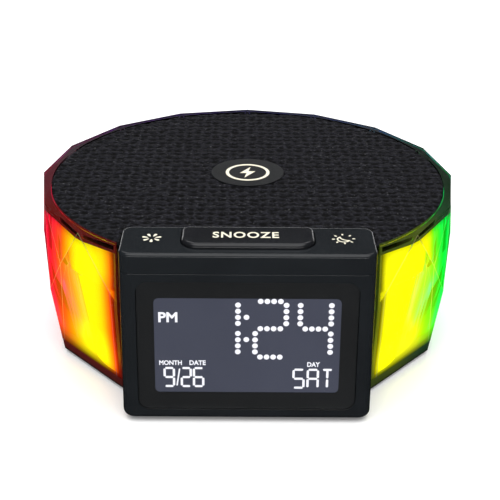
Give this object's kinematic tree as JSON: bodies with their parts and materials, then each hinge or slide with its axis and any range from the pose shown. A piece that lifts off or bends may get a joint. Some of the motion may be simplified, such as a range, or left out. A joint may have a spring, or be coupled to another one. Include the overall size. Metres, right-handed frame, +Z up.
{
  "type": "bedside clock",
  "caption": "Faceted drum with a lit clear shell and a fabric charging top; a display block with a snooze bar and a dark window is let into its front.",
  "frame": {"origin": "middle of the footprint on the table", "axes": "+Z up, -Y out of the display, +X to the right seen from the front"},
  "size_m": [0.158, 0.1526, 0.0666],
  "materials": {
    "smoked_plastic": "clear smoked plastic",
    "milky_plastic": "milky light diffuser",
    "white_plastic": "white moulding",
    "case_plastic": "satin black moulding",
    "key_plastic": "satin black buttons",
    "lens_plastic": "dark polished window",
    "display_glass": "display glass",
    "cloth": "black woven fabric",
    "badge": "thin black disc with a printed sign",
    "soft_rubber": "rubber feet",
    "foam": "foam and rubber",
    "board": "glass-fibre circuit board",
    "dark_part": "component bodies",
    "light_part": "light bodies",
    "ribbon": "flexible circuit",
    "steel": "zinc-plated steel",
    "copper": "copper wire",
    "contact_metal": "plated contacts",
    "ferrite": "pressed ferrite",
    "paper": "pressed paper"
  },
  "bodies": {
    "case": {"prism_shell": "smoked_plastic", "light_diffuser": "milky_plastic", "inner_chassis": "white_plastic", "led_strip": "ribbon", "rgb_leds": "light_part", "base_tray": "case_plastic", "rubber_feet": "soft_rubber", "coin_cell": "steel", "battery_contacts": "contact_metal", "base_screws": "steel", "block_screws": "steel", "top_screws": "steel", "top_frame": "case_plastic", "fabric_cover": "cloth", "charge_badge": "badge", "charging_coil": "copper", "ferrite_disc": "ferrite", "coil_holder": "white_plastic", "charger_board": "board", "coil_screws": "steel", "front_housing": "case_plastic", "deck_cover": "case_plastic", "lens_panel": "lens_plastic", "lcd_glass": "display_glass", "backlight_guide": "milky_plastic", "contact_strip": "foam", "lcd_frame": "dark_part", "display_board": "board", "display_screws": "steel", "snooze_switches": "dark_part", "deck_board": "board", "touch_pads": "contact_metal", "touch_springs": "steel", "speaker_gasket": "foam", "speaker_frame": "steel", "speaker_magnet": "ferrite", "speaker_screws": "steel", "speaker_surround": "foam", "speaker_cone": "paper", "main_board": "board", "board_screws": "steel", "board_parts": "dark_part", "display_ribbon": "ribbon", "rear_panel": "case_plastic", "rear_switches": "dark_part", "slide_switch": "dark_part", "power_inlet": "dark_part", "inlet_pin": "steel", "rear_board": "board", "rear_screws": "steel"},
    "snooze_key": {"snooze_bar": "key_plastic", "snooze_plungers": "dark_part"},
    "time_button": {"time_key": "key_plastic"},
    "alarm_button": {"alarm_key": "key_plastic"},
    "minus_button": {"minus_key": "key_plastic"},
    "plus_button": {"plus_key": "key_plastic"},
    "alarm_slider": {"alarm_knob": "key_plastic"},
    "battery_cap": {"battery_door": "case_plastic"}
  },
  "joints": [
    {"name": "snooze_press", "type": "slide", "parent": "case", "child": "snooze_key", "axis": [0, 0, -1], "range_m": [0, 0.0008], "stiffness_N_per_m": 1200, "springref_m": -0.0004},
    {"name": "time_press", "type": "slide", "parent": "case", "child": "time_button", "axis": [0, -1, 0], "range_m": [0, 0.0006], "stiffness_N_per_m": 1200, "springref_m": -0.0004},
    {"name": "alarm_press", "type": "slide", "parent": "case", "child": "alarm_button", "axis": [0, -1, 0], "range_m": [0, 0.0006], "stiffness_N_per_m": 1200, "springref_m": -0.0004},
    {"name": "minus_press", "type": "slide", "parent": "case", "child": "minus_button", "axis": [0, -1, 0], "range_m": [0, 0.0006], "stiffness_N_per_m": 1200, "springref_m": -0.0004},
    {"name": "plus_press", "type": "slide", "parent": "case", "child": "plus_button", "axis": [0, -1, 0], "range_m": [0, 0.0006], "stiffness_N_per_m": 1200, "springref_m": -0.0004},
    {"name": "alarm_slide", "type": "slide", "parent": "case", "child": "alarm_slider", "axis": [1, 0, 0], "range_m": [0, 0.003]},
    {"name": "battery_turn", "type": "hinge", "parent": "case", "child": "battery_cap", "pos_m": [-0.032, -0.02075, 0.003], "axis": [0, 0, -1], "range_deg": [0, 45]}
  ]
}
